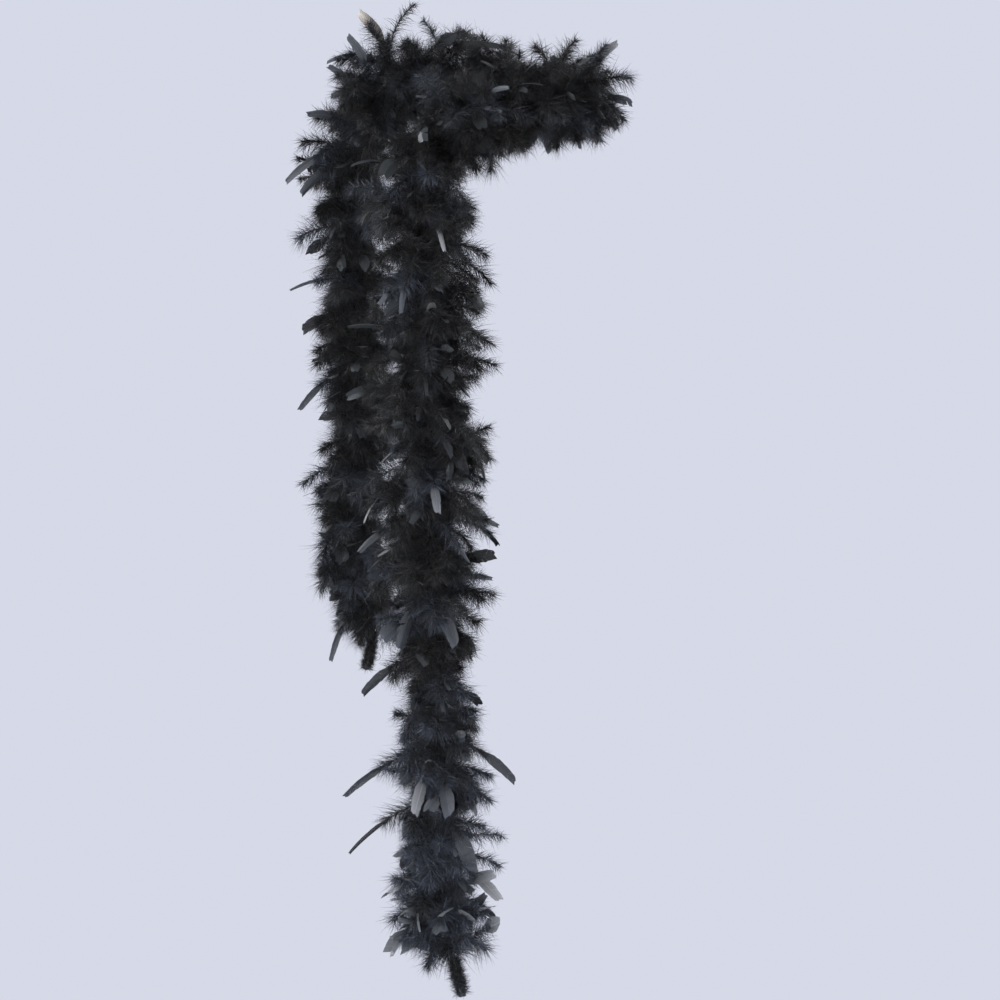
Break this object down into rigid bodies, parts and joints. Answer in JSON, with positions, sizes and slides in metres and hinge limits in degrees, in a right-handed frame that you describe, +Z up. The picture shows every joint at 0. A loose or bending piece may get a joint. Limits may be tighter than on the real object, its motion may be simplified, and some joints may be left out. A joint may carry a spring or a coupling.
{
  "type": "feather boa",
  "caption": "Fluffy feather boa draped once round a neck: twisted cord, binding thread, soft down and loose blunt-tipped feathers, with two hanging tails and bare cord ends.",
  "frame": {"origin": "middle of the neck opening, at the height of the cord round the neck", "axes": "+Z up, opposite to the way the tails hang; -Y towards the front of the wearer; +X towards an onlooker's right, the wearer's left"},
  "size_m": [0.3806, 0.3354, 1.0865],
  "materials": {
    "feather": "black vane with a soft sheen and a faint blue and green shimmer",
    "down": "black fluffy down, fully matt",
    "tan_feather": "vane with a bleached tan tip",
    "cord": "black twisted fibre cord, matt",
    "thread": "thin black thread with a slight gloss"
  },
  "bodies": {
    "rear_3": {"rear_3_ply_a": "cord", "rear_3_ply_b": "cord", "rear_3_thread": "thread", "rear_3_down": "down", "rear_3_feathers": "feather"},
    "rear_2": {"rear_2_ply_a": "cord", "rear_2_ply_b": "cord", "rear_2_thread": "thread", "rear_2_down": "down", "rear_2_feathers": "feather"},
    "rear_1": {"rear_1_ply_a": "cord", "rear_1_ply_b": "cord", "rear_1_thread": "thread", "rear_1_down": "down", "rear_1_feathers": "feather"},
    "collar": {"collar_ply_a": "cord", "collar_ply_b": "cord", "collar_thread": "thread", "collar_down": "down", "collar_feathers": "feather", "collar_tan_feather": "tan_feather"},
    "front_1": {"front_1_ply_a": "cord", "front_1_ply_b": "cord", "front_1_thread": "thread", "front_1_down": "down", "front_1_feathers": "feather"},
    "front_2": {"front_2_ply_a": "cord", "front_2_ply_b": "cord", "front_2_thread": "thread", "front_2_down": "down", "front_2_feathers": "feather"},
    "front_3": {"front_3_ply_a": "cord", "front_3_ply_b": "cord", "front_3_thread": "thread", "front_3_down": "down", "front_3_feathers": "feather"},
    "front_4": {"front_4_ply_a": "cord", "front_4_ply_b": "cord", "front_4_thread": "thread", "front_4_down": "down", "front_4_feathers": "feather"},
    "rear_end": {"rear_end_ply_a": "cord", "rear_end_ply_b": "cord", "rear_end_knot": "cord", "rear_end_whipping": "thread", "rear_end_loop": "thread"},
    "front_end": {"front_end_ply_a": "cord", "front_end_ply_b": "cord", "front_end_whipping": "thread"}
  },
  "joints": [
    {"name": "front_1_swing", "type": "hinge", "parent": "collar", "child": "front_1", "pos_m": [-0.07023, -0.10651, -0.19555], "axis": [-1, 0, 0], "range_deg": [-5, 30]},
    {"name": "front_2_sway", "type": "hinge", "parent": "front_1", "child": "front_2", "pos_m": [-0.06568, -0.11046, -0.38944], "axis": [0, 1, 0], "range_deg": [-30, 30]},
    {"name": "front_3_swing", "type": "hinge", "parent": "front_2", "child": "front_3", "pos_m": [-0.06483, -0.11207, -0.58343], "axis": [-1, 0, 0], "range_deg": [-8, 30]},
    {"name": "front_4_sway", "type": "hinge", "parent": "front_3", "child": "front_4", "pos_m": [-0.05649, -0.112, -0.77714], "axis": [0, 1, 0], "range_deg": [-30, 30]},
    {"name": "front_end_swing", "type": "hinge", "parent": "front_4", "child": "front_end", "pos_m": [-0.04054, -0.112, -0.96632], "axis": [-1, 0, 0], "range_deg": [-40, 40]},
    {"name": "rear_1_swing", "type": "hinge", "parent": "collar", "child": "rear_1", "pos_m": [-0.16019, 0.08789, -0.13503], "axis": [1, 0, 0], "range_deg": [-5, 30]},
    {"name": "rear_2_sway", "type": "hinge", "parent": "rear_1", "child": "rear_2", "pos_m": [-0.15273, 0.09192, -0.30075], "axis": [0, -1, 0], "range_deg": [-30, 30]},
    {"name": "rear_3_swing", "type": "hinge", "parent": "rear_2", "child": "rear_3", "pos_m": [-0.15807, 0.09199, -0.46657], "axis": [1, 0, 0], "range_deg": [-8, 30]},
    {"name": "rear_end_sway", "type": "hinge", "parent": "rear_3", "child": "rear_end", "pos_m": [-0.13507, 0.092, -0.61738], "axis": [0, -1, 0], "range_deg": [-40, 40]}
  ]
}
